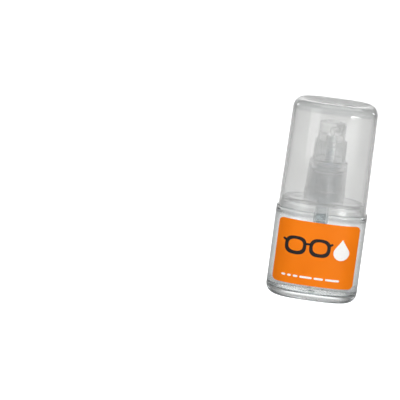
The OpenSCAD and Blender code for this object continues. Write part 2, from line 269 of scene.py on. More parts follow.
def rounded(outline, radius):
    """A closed outline of (radius, height) points with its corners rounded off."""
    steps = 4
    most_of_side = 0.45
    least_cut = 0.02
    result = []
    count = len(outline)
    for i in range(count):
        before, here, after = (Vector(outline[(i + k) % count]) for k in (-1, 0, 1))
        shortest = min((before - here).length * most_of_side, (after - here).length * most_of_side)
        cut_back = min(radius, shortest)
        if here.x < TINY or cut_back < least_cut:
            result.append(tuple(here))
            continue
        a = here + (before - here).normalized() * cut_back
        b = here + (after - here).normalized() * cut_back
        for k in range(steps + 1):
            s = k / steps
            spot = a * (1 - s) ** 2 + here * (2 * s * (1 - s)) + b * s ** 2
            result.append(tuple(spot))
    return result


def lathe(name, outline, material, edge=0.15, around=128, place=None):
    """Solid turned from a closed outline of (radius, height) points."""
    outline = rounded(outline, edge)
    bm = bmesh.new()
    columns = []
    for k in range(around):
        a = 2 * math.pi * k / around
        columns.append([bm.verts.new((r * math.cos(a), r * math.sin(a), z)) for r, z in outline])
    count = len(outline)
    for k in range(around):
        here, there = columns[k], columns[(k + 1) % around]
        for i in range(count):
            j = (i + 1) % count
            on_axis = outline[i][0] < TINY and outline[j][0] < TINY
            if not on_axis:
                bm.faces.new((here[i], there[i], there[j], here[j]))
    if place is not None:
        bmesh.ops.transform(bm, matrix=place, verts=bm.verts)
    bmesh.ops.remove_doubles(bm, verts=bm.verts, dist=MERGE)
    bmesh.ops.dissolve_degenerate(bm, edges=bm.edges, dist=TINY)
    return finish_mesh(name, bm, material)


def on_bottle(x, z, out):
    """Point on the front of the bottle, moved out from its surface."""
    share = min(1.0, abs(x) / HALF_W)
    y = -HALF_D * (1 - share ** PLAN_POWER) ** (1 / PLAN_POWER)
    nx = math.copysign(PLAN_POWER * share ** (PLAN_POWER - 1) / HALF_W, x)
    ny = -PLAN_POWER * (abs(y) / HALF_D) ** (PLAN_POWER - 1) / HALF_D
    length = math.hypot(nx, ny)
    return (x + out * nx / length, y + out * ny / length, z)


# ---- materials


class Nodes:
    """Small helper for one material's nodes."""

    def __init__(self, name):
        self.material = bpy.data.materials.new(name)
        self.material.use_nodes = True
        self.tree = self.material.node_tree
        self.tree.nodes.clear()
        self.output = self.add("OutputMaterial")
        self.coords = self.add("TexCoord").outputs["Object"]

    def add(self, kind, sockets=None, **settings):
        """Adds a node; each socket is set to a number or linked to another node's output."""
        node = self.tree.nodes.new("ShaderNode" + kind)
        for key, value in settings.items():
            setattr(node, key, value)
        for key, value in (sockets or {}).items():
            if isinstance(value, bpy.types.NodeSocket):
                self.tree.links.new(value, node.inputs[key])
            else:
                node.inputs[key].default_value = value
        return node

    def noise(self, scale, detail, stretch=None):
        """Noise in the object's own space; scale is in features per metre."""
        place = self.coords
        if stretch is not None:
            place = self.add("Mapping", {"Vector": place, "Scale": stretch}).outputs["Vector"]
        node = self.add("TexNoise", {"Vector": place, "Scale": scale, "Detail": detail})
        return node.outputs["Fac"]

    def spread(self, value, low, high, from_low=0.3, from_high=0.7):
        """Maps a value from one range to another."""
        return self.add("MapRange", {
            "Value": value,
            "From Min": from_low,
            "From Max": from_high,
            "To Min": low,
            "To Max": high,
        }).outputs["Result"]

    def tint(self, value, colour_a, colour_b):
        """Colour that runs between two colours as a value runs from 0.3 to 0.7."""
        node = self.add("ValToRGB", {"Fac": value})
        node.color_ramp.elements[0].position = 0.3
        node.color_ramp.elements[1].position = 0.7
        node.color_ramp.elements[0].color = (*colour_a, 1)
        node.color_ramp.elements[1].color = (*colour_b, 1)
        return node.outputs["Color"]

    def bump(self, height, distance, strength=1.0):
        """Normal that a height field gives; distance is in metres."""
        node = self.add("Bump", {"Height": height, "Distance": distance, "Strength": strength})
        return node.outputs["Normal"]

    def shader(self, **values):
        """Principled shader; an underscore stands for the space in a socket's name."""
        sockets = {key.replace("_", " "): value for key, value in values.items()}
        return self.add("BsdfPrincipled", sockets).outputs["BSDF"]

    def calc(self, operation, a, b=0.0):
        """Result of a sum on one or two values."""
        return self.add("Math", {0: a, 1: b}, operation=operation).outputs["Value"]

    def either(self, switch, when_off, when_on):
        """A value that becomes a fixed number where the switch is one."""
        mix = self.add("Mix", {"Factor": switch, "A": when_off, "B": when_on}, data_type="FLOAT")
        return mix.outputs["Result"]

    def multiplied(self, colour, by, share):
        """A colour multiplied by another, by a share that may vary over the surface."""
        mix = self.add("Mix", {"Factor": share}, data_type="RGBA", blend_type="MULTIPLY")
        first, second = (socket for socket in mix.inputs if socket.type == "RGBA")
        second.default_value = (*by, 1)
        self.tree.links.new(colour, first)
        return next(socket for socket in mix.outputs if socket.type == "RGBA")

    def painted_edge_shade(self, colour, edge, power, where=None):
        """Painted shade: colour that deepens where a wall is seen edge-on, standing in for the
        darker surroundings it bends and mirrors.
        """
        facing = self.add("LayerWeight").outputs["Facing"]
        share = self.calc("POWER", facing, power)
        if where is not None:
            share = self.calc("MULTIPLY", share, where)
        return self.multiplied(colour, edge, share)

    def height_band(self, low, high, soft):
        """One between two heights in millimetres and nothing outside them."""
        low, high, soft = low * MM, high * MM, soft * MM
        height = self.add("SeparateXYZ", {"Vector": self.coords}).outputs["Z"]
        rise = self.spread(height, 0.0, 1.0, low - soft, low + soft)
        fall = self.spread(height, 1.0, 0.0, high - soft / 2, high + soft / 2)
        return self.calc("MULTIPLY", rise, fall)

    def done(self, shader):
        """Puts a shader on the surface and gives the finished material."""
        self.tree.links.new(shader, self.output.inputs["Surface"])
        return self.material

    def lamps_pass(self, shader, colour):
        """Finishes a clear skin that lets lamps through, so that what it holds is lit."""
        clear = self.add("BsdfTransparent", {"Color": (*colour, 1)}).outputs["BSDF"]
        shadow = self.add("LightPath").outputs["Is Shadow Ray"]
        mix = self.add("MixShader", {0: shadow, 1: shader, 2: clear})
        return self.done(mix.outputs["Shader"])


def clear_pet():
    """Polished clear PET with the faint waviness and haze of a blown bottle."""
    n = Nodes("clear_pet")
    waves = n.noise(90, detail=2, stretch=(1, 1, 0.4))
    haze = n.noise(900, detail=4)
    colour = n.tint(waves, (0.955, 0.96, 0.96), (0.985, 0.99, 0.99))
    # Painted shade: the foot of the bottle is darkened
    foot = n.height_band(-10, 1.3 * BASE_EDGE_R, 0.8)
    colour = n.multiplied(colour, (0.84, 0.85, 0.85), foot)
    neck = n.height_band(SHOULDER_Z + 1.0, MOUTH_Z + 1.0, 0.5)
    colour = n.multiplied(colour, (0.80, 0.86, 0.88), neck)
    # Painted shade: between the foot and the ledge the walls darken where they are seen edge-on
    body = n.height_band(BASE_EDGE_R, LEDGE_Z - 0.8, 1.2)
    return n.lamps_pass(n.shader(
        IOR=1.55,
        Transmission_Weight=1.0,
        Base_Color=n.painted_edge_shade(colour, (0.36, 0.38, 0.39), 2.0, body),
        Roughness=n.spread(haze, 0.015, 0.05),
        Normal=n.bump(waves, 0.00012),
    ), (0.90, 0.92, 0.93))


def liquid():
    """Clear watery cleaning fluid."""
    n = Nodes("liquid")
    drift = n.noise(60, detail=1)
    return n.lamps_pass(n.shader(
        IOR=1.345,
        Transmission_Weight=1.0,
        Base_Color=n.tint(drift, (0.985, 0.99, 0.985), (0.995, 1.0, 0.995)),
        Roughness=n.spread(drift, 0.0, 0.01),
    ), (0.96, 0.98, 0.99))


def frosted_pp():
    """Translucent polypropylene: smooth and satin outside, a milky haze within."""
    n = Nodes("frosted_pp")
    cloud = n.noise(110, detail=3, stretch=(1, 1, 0.5))
    grain = n.noise(2600, detail=3)
    colour = n.tint(cloud, (0.89, 0.89, 0.885), (0.93, 0.93, 0.925))
    # Painted shade: the walls darken where they are seen edge-on
    colour = n.painted_edge_shade(colour, (0.48, 0.49, 0.49), 3.2)
    # Painted shade: the rounded top edge is darkened
    corner = n.height_band(CAP_TOP_Z - CAP_EDGE_R - 0.3, CAP_TOP_Z - 0.25, 0.4)
    return n.lamps_pass(n.shader(
        IOR=1.49,
        Transmission_Weight=0.84,
        Base_Color=n.multiplied(colour, (0.86, 0.87, 0.87), corner),
        Roughness=n.spread(grain, 0.04, 0.09),
        Normal=n.bump(grain, 0.00001, 0.12),
    ), (0.62, 0.63, 0.63))


def natural_pp(name, dark, light, smoky_from=None):
    """Natural polypropylene: cloudy and slightly waxy between two shades.

    Above a height, which is in millimetres, a part turns darker and bluer.
    """
    n = Nodes(name)
    flow = n.noise(240, detail=4, stretch=(1, 1, 0.25))
    grain = n.noise(3000, detail=2)
    colour = n.tint(flow, dark, light)
    if smoky_from is not None:
        # Above this height the colour is darkened and turned bluer
        thick = n.height_band(smoky_from, CAP_TOP_Z, 0.6)
        colour = n.multiplied(colour, (0.28, 0.40, 0.45), thick)
    return n.lamps_pass(n.shader(
        IOR=1.45,
        Transmission_Weight=0.92,
        Base_Color=colour,
        Roughness=n.spread(grain, 0.09, 0.15),
        Normal=n.bump(grain, 0.00001, 0.1),
    ), (0.66, 0.66, 0.66))


def milky_pe(name, dark, light):
    """Soft polyethylene of the small pump parts, faintly streaked between two shades."""
    n = Nodes(name)
    flow = n.noise(400, detail=3)
    return n.done(n.shader(
        IOR=1.5,
        Subsurface_Weight=0.4,
        Subsurface_Scale=0.0008,
        Base_Color=n.tint(flow, dark, light),
        Roughness=n.spread(flow, 0.32, 0.45),
        Normal=n.bump(flow, 0.00001, 0.4),
    ))


def foam_seal():
    """Grey foam washer with fine open cells."""
    n = Nodes("foam_seal")
    cells = n.noise(4000, detail=2)
    return n.done(n.shader(
        IOR=1.45,
        Base_Color=n.tint(cells, (0.30, 0.32, 0.33), (0.42, 0.44, 0.45)),
        Roughness=n.spread(cells, 0.75, 0.9),
        Normal=n.bump(cells, 0.00004, 0.8),
    ))


def spring_steel():
    """Drawn stainless wire, with fine marks along it."""
    n = Nodes("spring_steel")
    marks = n.noise(1800, detail=4, stretch=(1, 1, 6))
    return n.done(n.shader(
        Metallic=1.0,
        Base_Color=n.tint(marks, (0.52, 0.53, 0.55), (0.68, 0.69, 0.70)),
        Roughness=n.spread(marks, 0.16, 0.32),
        Normal=n.bump(marks, 0.00001, 0.4),
    ))


def label_film():
    """Orange printed film: a fine uneven ink coat under a satin varnish."""
    n = Nodes("label_film")
    coat = n.noise(1300, detail=4)
    soft = n.noise(70, detail=1)
    return n.done(n.shader(
        IOR=1.48,
        Specular_IOR_Level=0.14,
        Base_Color=n.tint(soft, (0.86, 0.190, 0.002), (0.92, 0.217, 0.004)),
        Roughness=n.spread(coat, 0.38, 0.52),
        Normal=n.bump(coat, 0.00001, 0.35),
    ))


def label_paper():
    """White back of the label, with its faint fibres."""
    n = Nodes("label_back")
    fibres = n.noise(1500, detail=5, stretch=(1, 1, 3))
    return n.done(n.shader(
        IOR=1.45,
        Base_Color=n.tint(fibres, (0.72, 0.72, 0.71), (0.80, 0.80, 0.79)),
        Roughness=n.spread(fibres, 0.55, 0.7),
        Normal=n.bump(fibres, 0.00001, 0.5),
    ))


def print_ink(name, dark, light, rough):
    """Printed ink that lies on the label, slightly uneven."""
    n = Nodes(name)
    speckle = n.noise(2200, detail=4)
    return n.done(n.shader(
        IOR=1.5,
        Specular_IOR_Level=0.2,
        Base_Color=n.tint(speckle, dark, light),
        Roughness=n.spread(speckle, rough - 0.06, rough + 0.08),
        Normal=n.bump(speckle, 0.000008, 0.35),
    ))


def studio_floor():
    """Plain pale sweep with a barely visible tooth.

    Seen directly it is evenly white. What the clear walls bend and mirror is a softer grey:
    dim under the bottle, brightest straight behind it and darker to both sides, as with
    black cards standing either side of a bright backdrop.
    """
    n = Nodes("studio_floor")
    away = n.add("VectorMath", {0: n.coords}, operation="LENGTH").outputs["Value"]
    split = n.add("SeparateXYZ", {"Vector": n.coords})
    slant = n.calc("DIVIDE", split.outputs["X"], away)
    aside = n.calc("ABSOLUTE", n.calc("ADD", slant, 0.03))

    # What the walls bend and mirror: a dim floor, and a bright panel far behind the object
    behind = n.spread(aside, 1.0, 0.0, 0.34, 0.75)
    near = n.spread(away, 0.05, 0.24, 0.0, 0.20)
    far = n.spread(away, 0.0, 1.0, 1.0, 1.8)
    panel = n.calc("MULTIPLY", far, n.spread(aside, 1.0, 0.0, 0.18, 0.42))
    panel = n.calc("MULTIPLY", panel, n.spread(split.outputs["Z"], 0.04, 1.0, 0.44, 0.72))
    glow = n.calc("MULTIPLY", near, n.spread(behind, 0.25, 1.0, 0.0, 1.0))
    glow = n.calc("ADD", glow, panel)
    seen = n.add("LightPath").outputs["Is Camera Ray"]

    # Its colour, darkened to both sides and under the bottle where it isn't seen directly
    tooth = n.noise(400, detail=3)
    pale = n.tint(tooth, (0.86, 0.86, 0.86), (0.88, 0.88, 0.88))
    shade = n.either(seen, n.spread(behind, 1.0, 0.0, 0.0, 1.0), 0.0)
    below = n.either(seen, n.spread(away, 1.0, 0.0, 0.04, 0.12), 0.0)
    pale = n.multiplied(pale, (0.55, 0.55, 0.55), shade)
    return n.done(n.shader(
        IOR=1.4,
        Base_Color=n.multiplied(pale, (0.85, 0.85, 0.85), below),
        Roughness=n.spread(tooth, 0.8, 0.9),
        Emission_Color=(1, 1, 1, 1),
        Emission_Strength=n.either(seen, glow, 0.75),
    ))


SMOKY_FROM_Z = GASKET_LOW.z - 12.5

PET = clear_pet()
LIQUID = liquid()
FROSTED = frosted_pp()
NATURAL = natural_pp("natural_pp", (0.90, 0.905, 0.90), (0.95, 0.955, 0.95))
CLOUDY = natural_pp("cloudy_pp", (0.74, 0.75, 0.75), (0.82, 0.83, 0.83))
SMOKY = natural_pp("smoky_pp", (0.82, 0.86, 0.87), (0.88, 0.92, 0.93), SMOKY_FROM_Z)
MILKY = milky_pe("milky_pe", (0.78, 0.79, 0.79), (0.86, 0.87, 0.87))
GREY = milky_pe("grey_pe", (0.36, 0.41, 0.43), (0.44, 0.49, 0.51))
SEAL = foam_seal()
STEEL = spring_steel()
FILM = label_film()
PAPER = label_paper()
BLACK_INK = print_ink("black_ink", (0.010, 0.009, 0.008), (0.020, 0.018, 0.017), 0.35)
WHITE_INK = print_ink("white_ink", (0.89, 0.88, 0.86), (0.94, 0.93, 0.91), 0.4)
FLOOR = studio_floor()


# ---- pieces


def thread_radius(z):
    """Radius of the neck at a height, as a function of the angle, thread included."""
    flank = THREAD_ROOT_HALF - THREAD_CREST_HALF
    run_out = 0.12

    def radius(turn):
        height = 0.0
        for k in range(3):
            wound = turn / (2 * math.pi) + k
            if wound > THREAD_TURNS:
                break
            off = abs(z - THREAD_Z - THREAD_PITCH * wound)
            share = min(1.0, max(0.0, (THREAD_ROOT_HALF - off) / flank))
            ends = min(1.0, wound / run_out, (THREAD_TURNS - wound) / run_out)
            height = max(height, share * max(0.0, ends))
        return NECK_R + THREAD_H * height

    return radius


def floor_ring(inset, rim_z):
    """Ring of the bottle's slightly domed inner floor, whose rim is at a height."""
    share = (inset - WALL - INNER_EDGE_R) / (HALF_D - WALL - INNER_EDGE_R)
    return body_ring(inset, rim_z + FLOOR_DOME * math.sin(share * math.pi / 2))


def step_rings(wall_inset, recess_inset):
    """Rings up the soft step inside the bottle, from its wall in to its recess."""
    step_z = LEDGE_Z - WALL
    return [
        body_ring(wall_inset, step_z - STEP_BELOW),
        body_ring(wall_inset + 0.4, step_z - 1),
        body_ring(recess_inset - 0.4, step_z - 0.2),
        body_ring(recess_inset, step_z + 0.6),
    ]


def base_rings():
    """Rings of the bottle's pushed-up underside, from its middle out to its foot."""
    foot = BASE_EDGE_R + STANDING_W
    flat_insets = (13.2, 12.0, 10.5, 9.0, 8.0)
    push_up_curve = ((1.6, 1), (1.2, 0.9), (0.8, 0.5), (0.4, 0.12), (0, 0))
    rings = [body_ring(inset, PUSH_UP) for inset in flat_insets]
    rings += [body_ring(foot + inward, PUSH_UP * share) for inward, share in push_up_curve]
    return rings


def snap_bead_rings():
    """Rings of the low bead round the recess, which holds the overcap on."""
    bead = 0.1
    curve = ((0, 0), (0.15, 0), (1.6, 0), (1.9, bead), (2.1, bead), (2.4, 0))
    return [body_ring(RECESS_INSET - out, LEDGE_Z + up) for up, out in curve]


def neck_rings():
    """Rings up the threaded neck, over its lip and down its bore to the inner shoulder."""
    fillet = 0.5
    steps = 84
    lip = 0.25
    lip_r = 0.07
    low = SHOULDER_Z + fillet
    neck_top = MOUTH_Z - lip
    inner_shoulder = SHOULDER_Z - WALL
    curve = [(NECK_R + fillet, SHOULDER_Z), (NECK_R + 0.12, SHOULDER_Z + 0.14), (NECK_R, low)]
    for k in range(1, steps):
        z = low + (neck_top - SHOULDER_Z - fillet) * k / steps
        curve.append((thread_radius(z), z))
    curve += [(NECK_R, neck_top), (NECK_R - lip_r, MOUTH_Z - lip_r), (NECK_R - lip, MOUTH_Z)]
    curve += [(NECK_BORE_R + lip, MOUTH_Z), (NECK_BORE_R + lip_r, MOUTH_Z - lip_r)]
    curve += [(NECK_BORE_R, neck_top), (NECK_BORE_R, inner_shoulder + 0.6)]
    curve += [(NECK_BORE_R + 0.15, inner_shoulder + 0.15), (NECK_BORE_R + 0.6, inner_shoulder)]
    return [round_ring(radius, z) for radius, z in curve]


def make_bottle():
    """Clear bottle as one closed skin, from the underside round to the inner floor."""
    ledge_edge = 0.8
    shoulder_edge = 1.1
    shoulder_inset = 5.2
    inner_edge = 1
    inner_shoulder = SHOULDER_Z - WALL
    inner_recess = RECESS_INSET + WALL
    step_foot = LEDGE_Z - WALL - STEP_BELOW
    rings = base_rings()
    rings += edge_rings(0, 0, BASE_EDGE_R, -90, 0, 14)
    rings += wall_rings(0, BASE_EDGE_R, 0, LEDGE_Z - ledge_edge, 10)
    rings += edge_rings(0, LEDGE_Z, ledge_edge, 0, 90, 8)
    rings += wall_rings(ledge_edge, LEDGE_Z, RECESS_INSET, LEDGE_Z, 3)
    rings += snap_bead_rings()
    rings += edge_rings(RECESS_INSET, SHOULDER_Z, shoulder_edge, 0, 90, 8)
    rings.append(body_ring(shoulder_inset, SHOULDER_Z))
    rings += neck_rings()
    rings.append(body_ring(inner_recess + 2.2, inner_shoulder))
    rings += edge_rings(inner_recess, inner_shoulder, inner_edge, 90, 0, 6)
    rings += reversed(step_rings(WALL, inner_recess))
    rings += wall_rings(WALL, step_foot, WALL, BASE_T + INNER_EDGE_R, 8)
    rings += edge_rings(WALL, BASE_T, INNER_EDGE_R, 0, -90, 10)
    rings += [floor_ring(inset, BASE_T) for inset in FLOOR_INSETS]
    obj = skin("bottle_clear", rings, PET)
    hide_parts("bottle")
    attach(obj, "bottle")


def make_liquid():
    """Liquid; its skin lies a little inside the bottle's wall, so no air shows between them.

    It closes round the pump wherever the pump stands, as a liquid does, so it has no well.
    """
    bite = 0.06
    floor_z = BASE_T - bite
    top_z = LIQUID_HIGH.z
    inset = WALL - bite
    recess = RECESS_INSET + WALL - bite
    step_foot = LEDGE_Z - WALL - STEP_BELOW
    climb = 0.3
    wall_curve = ((0, 1), (0.15, 0.8), (0.5, 0.35), (1.2, 0))
    pump_r = 3.1
    pump_curve = ((0.6, 0), (0.15, 0.1), (-0.3, 0.2))
    rings = [floor_ring(ring_inset, floor_z) for ring_inset in reversed(FLOOR_INSETS)]
    rings += edge_rings(inset, floor_z, INNER_EDGE_R, -90, 0, 10)
    rings += wall_rings(inset, floor_z + INNER_EDGE_R, inset, step_foot, 10)
    rings += step_rings(inset, recess)
    rings += [body_ring(recess + inward, top_z + climb * share) for inward, share in wall_curve]
    rings += [round_ring(pump_r + out, top_z + up) for out, up in pump_curve]
    obj = skin("liquid_fill", rings, LIQUID)
    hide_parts("cleaning_liquid")
    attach(obj, "bottle")


def make_overcap():
    """Frosted overcap as one closed skin, from the ceiling down the inside and up outside."""
    rim_z = CAP_LOW.z
    inner_rim = CAP_INSET + CAP_WALL
    straight_z = SHOULDER_Z + 1
    outer_top = CAP_INSET + CAP_TAPER
    inner_edge = CAP_EDGE_R - CAP_WALL
    inner_top = outer_top + CAP_WALL
    ceiling = CAP_TOP_Z - CAP_WALL
    lip = 0.3
    top_insets = (7.2, 8.6, 10.4, 12.0, 13.2)
    rings = [body_ring(inset, ceiling) for inset in reversed(top_insets[1:])]
    rings += edge_rings(inner_top, ceiling, inner_edge, 90, 0, 10)
    rings += wall_rings(inner_top, ceiling - inner_edge, inner_rim, straight_z, 10)
    rings.append(body_ring(inner_rim, straight_z))
    rings += edge_rings(inner_rim, rim_z, -lip, 0, 90, 5)
    rings += edge_rings(CAP_INSET, rim_z, lip, -90, 0, 5)
    rings += wall_rings(CAP_INSET, rim_z + lip, outer_top, CAP_TOP_Z - CAP_EDGE_R, 12)
    rings += edge_rings(outer_top, CAP_TOP_Z, CAP_EDGE_R, 0, 90, 14)
    rings += [body_ring(inset, CAP_TOP_Z) for inset in top_insets]
    obj = skin("overcap_frosted", rings, FROSTED)
    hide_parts("overcap")
    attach(obj, "overcap")


def make_closure():
    """Screw collar with its deck and turret."""
    foot = CLOSURE_LOW.z
    top = CLOSURE_HIGH.z
    room_r = COLLAR_ROOM_R
    flange_room = 1.22
    deck_t = 1.2
    collar_rise = 2.5
    draft = 0.7
    deck = GASKET_HIGH.z + flange_room
    deck_top = deck + deck_t
    collar_top = deck_top + collar_rise
    foot_r = CLOSURE_HIGH.x
    top_r = foot_r - draft
    chamfer = 0.25
    crown = 0.8
    turret_r = 7.2
    turret_bore_r = BUTTON_HIGH.x + 0.3
    pump_hole_r = 5.1
    obj = lathe("screw_collar", [
        (room_r, foot), (foot_r - chamfer, foot), (foot_r, foot + chamfer),
        (top_r, collar_top - crown), (top_r - chamfer, collar_top - chamfer),
        (top_r - crown, collar_top), (turret_r, collar_top), (turret_r, top), (turret_bore_r, top),
        (turret_bore_r, deck_top), (pump_hole_r, deck_top), (pump_hole_r, deck), (room_r, deck),
    ], CLOUDY, edge=0.3)
    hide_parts("closure")
    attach(obj, "closure")


def make_inner_thread():
    """Thread ridge inside the screw collar, sunk a little into it and running out at both ends."""
    sunk = 0.15
    ridge = [
        (sunk, -THREAD_ROOT_HALF), (0, -THREAD_ROOT_HALF), (-THREAD_H, -THREAD_CREST_HALF),
        (-THREAD_H, THREAD_CREST_HALF), (0, THREAD_ROOT_HALF), (sunk, THREAD_ROOT_HALF),
    ]
    steps = 96
    growth = 12
    least_reach = 0.05
    start_z = THREAD_Z - THREAD_PITCH / 2
    profiles = []
    for k in range(steps + 1):
        share = k / steps
        a = 2 * math.pi * THREAD_TURNS * share
        reach = min(1, share * growth + least_reach, (1 - share) * growth + least_reach)
        z = start_z + THREAD_PITCH * THREAD_TURNS * share
        profile = []
        for out, up in ridge:
            r = COLLAR_ROOM_R + (out if out > 0 else out * reach)
            profile.append((r * math.cos(a), r * math.sin(a), z + up))
        profiles.append(profile)
    obj = swept("screw_collar_thread", profiles, CLOUDY)
    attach(obj, "closure")


def nozzle_place():
    """Frame whose Z runs out along the nozzle's axis."""
    return (
        Matrix.Translation((0, 0, NOZZLE_Z))
        @ Matrix.Rotation(NOZZLE_TURN - math.pi / 2, 4, "Z")
        @ Matrix.Rotation(math.pi / 2, 4, "Y")
    )


def cut(obj, tools):
    """Cuts tool solids out of a piece and removes them."""
    for tool in tools:
        modifier = obj.modifiers.new("cut", "BOOLEAN")
        modifier.operation = "DIFFERENCE"
        modifier.solver = "EXACT"
        modifier.object = tool
    depsgraph = bpy.context.evaluated_depsgraph_get()
    mesh = bpy.data.meshes.new_from_object(obj.evaluated_get(depsgraph))
    obj.modifiers.clear()
    obj.data = mesh
    mesh.shade_smooth()
    mesh.set_sharp_from_angle(angle=CUT_SHARP_ANGLE)
    for tool in tools:
        bpy.data.objects.remove(tool)


def make_button():
    """Finger button: dished top, hollow skirt and centre post, cut for the nozzle."""
    r = BUTTON_HIGH.x
    low, top = BUTTON_LOW.z, BUTTON_HIGH.z
    head_h = 5.4
    skirt_wall = 1
    post_r = 2.5
    post_z = low + 0.6
    stem_bore_r = 1.83
    way_r = 0.8
    chamfer = 0.2
    dish_depth = 0.9
    dish_share = 0.86
    dish_steps = 12
    under_head = top - head_h
    stem_top = STEM_HIGH.z + REST_GAP
    outline = [
        (way_r, stem_top), (stem_bore_r, stem_top), (stem_bore_r, post_z), (post_r, post_z),
        (post_r, under_head), (r - skirt_wall, under_head), (r - skirt_wall, low),
        (r - chamfer, low), (r, low + chamfer),
        (r, top - 0.7), (r - chamfer, top - chamfer), (r - 0.6, top),
    ]
    for k in range(dish_steps, -1, -1):
        rise = dish_depth * (k / dish_steps) ** 2
        outline.append((r * dish_share * k / dish_steps, top - dish_depth + rise))
    outline += [(0, NOZZLE_Z), (way_r, NOZZLE_Z)]
    obj = lathe("finger_button", outline, NATURAL, edge=0.18)
    hole_r = NOZZLE_R + 0.02
    hole = lathe("nozzle_hole", [
        (0, NOZZLE_BED), (hole_r, NOZZLE_BED), (hole_r, r + 1), (0, r + 1),
    ], NATURAL, edge=0, place=nozzle_place())
    way_start = -0.2
    way = lathe("nozzle_way", [
        (0, way_start), (way_r, way_start), (way_r, r), (0, r),
    ], NATURAL, edge=0, around=48, place=nozzle_place())
    cut(obj, [hole, way])
    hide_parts("actuator")
    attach(obj, "button")


def make_nozzle():
    """Swirl nozzle pressed into the button, with a fine hole in a countersunk face."""
    back = NOZZLE_BED + REST_GAP
    face = back + 3.2
    chamfer = 0.2
    swirl_room_r = 1.4
    face_t = 1.1
    recess = 0.12
    cone_depth = 0.55
    spray_hole_r = 0.22
    obj = lathe("spray_nozzle", [
        (swirl_room_r, back), (NOZZLE_R, back), (NOZZLE_R, face - chamfer),
        (NOZZLE_R - chamfer, face), (1.25, face), (1.15, face - recess), (0.9, face - recess),
        (spray_hole_r, face - cone_depth), (spray_hole_r, face - face_t),
        (swirl_room_r, face - face_t),
    ], NATURAL, edge=0.1, place=nozzle_place())
    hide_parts("nozzle_insert")
    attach(obj, "button")


def make_housing():
    """Pump body, with its flange, cylinder, spring room, ball room and tube socket."""
    end = HOUSING_LOW.z
    top = HOUSING_HIGH.z
    flange = GASKET_HIGH.z + 0.02
    flange_top = flange + 1.16
    cylinder_floor = flange - 11
    taper = cylinder_floor - 1.2
    shelf = cylinder_floor - 11.8
    shelf_foot = shelf - 0.45
    seat = shelf - 4
    socket = seat - 0.8
    end_r = 2.5
    end_cone = 2.5
    upper_r = NECK_BORE_R - 0.25
    lower_r = 3.1
    flange_r = 6.9
    sleeve_r = 4.9
    cylinder_r = 3.75
    groove_r = 4.0
    groove_top = top - 1.1
    groove_foot = top - 1.9
    spring_room_r = 2.15
    shelf_hole_r = 1.1
    ball_room_r = 1.6
    seat_r = 0.8
    tube_r = 1.52
    obj = lathe("pump_body", [
        (tube_r, end), (end_r, end), (lower_r, end + end_cone), (lower_r, taper - 1.2),
        (upper_r, taper), (upper_r, flange), (flange_r, flange), (flange_r, flange_top),
        (sleeve_r, flange_top), (sleeve_r, top), (cylinder_r, top), (cylinder_r, groove_top),
        (groove_r, groove_top), (groove_r, groove_foot), (cylinder_r, groove_foot),
        (cylinder_r, cylinder_floor), (spring_room_r, cylinder_floor), (spring_room_r, shelf),
        (shelf_hole_r, shelf), (shelf_hole_r, shelf_foot), (ball_room_r, shelf_foot),
        (ball_room_r, seat + 0.8), (seat_r, seat), (seat_r, socket), (tube_r, socket),
    ], SMOKY, edge=0.12)
    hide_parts("pump_housing")
    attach(obj, "pump")


def make_gasket():
    """Foam washer, slightly bulged where it is squeezed."""
    low, high = GASKET_LOW.z, GASKET_HIGH.z
    outer, inner = GASKET_HIGH.x, NECK_BORE_R - 0.15
    middle = (low + high) / 2
    bulge = 0.1
    obj = lathe("mouth_washer", [
        (inner, low), (outer - bulge, low), (outer, middle), (outer - bulge, high), (inner, high),
    ], SEAL, edge=0.1)
    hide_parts("neck_gasket")
    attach(obj, "pump")


def make_tube():
    """Dip tube."""
    low, high = TUBE_LOW.z, TUBE_HIGH.z
    outer = TUBE_HIGH.x
    inner = outer - 0.6
    obj = lathe("suction_tube", [
        (inner, low), (outer, low), (outer, high), (inner, high),
    ], MILKY, edge=0.08, around=64)
    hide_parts("dip_tube")
    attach(obj, "pump")


def spring_height(share):
    """Height of the middle of the spring's wire, a share of the way along it.

    The coils at both ends are wound closed.
    """
    low, high = SPRING_LOW.z + SPRING_WIRE_R, SPRING_HIGH.z - SPRING_WIRE_R
    closed_rise = 2.1 * SPRING_WIRE_R
    climb = min(1, max(0, (share - SPRING_CLOSED) / (1 - 2 * SPRING_CLOSED)))
    closed_part = min(share, SPRING_CLOSED) + max(0, share - 1 + SPRING_CLOSED)
    open_rise = (high - low - 2 * closed_rise) * climb
    return low + open_rise + closed_rise * closed_part / SPRING_CLOSED


def spring_wire(name, first, last):
    """Stretch of the return spring's round wire, between two shares of its length."""
    mean_r = SPRING_HIGH.x - SPRING_WIRE_R
    turn_steps = 40
    steps = round(SPRING_TURNS * turn_steps * (last - first))
    sides = 12
    profiles = []
    for k in range(steps + 1):
        share = first + (last - first) * k / steps
        a = 2 * math.pi * SPRING_TURNS * share
        middle_z = spring_height(share)
        profile = []
        for i in range(sides):
            b = 2 * math.pi * i / sides
            r = mean_r + SPRING_WIRE_R * math.cos(b)
            z = middle_z + SPRING_WIRE_R * math.sin(b)
            profile.append((r * math.cos(a), r * math.sin(a), z))
        profiles.append(profile)
    return swept(name, profiles, STEEL)


def flatten(obj):
    """Gives the coils a mesh of their own."""
    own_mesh(obj)


def make_spring():
    """Return spring in two pieces, as two joints press on it.

    The lower coils go with the pump. The upper ones ride on the stem.
    """
    split = 0.8
    half_gap = 0.0004
    low_coils = spring_wire("return_spring", 0, split - half_gap)
    high_coils = spring_wire("return_spring_top", split + half_gap, 1)
    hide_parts("pump_spring")
    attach(low_coils, "pump")
    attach(high_coils, "stem")
    flatten(low_coils)
    flatten(high_coils)


def dress(node, material):
    """Gives a CAD node that stays its material."""
    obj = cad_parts[node]
    obj.data.materials.clear()
    obj.data.materials.append(material)


# ---- label


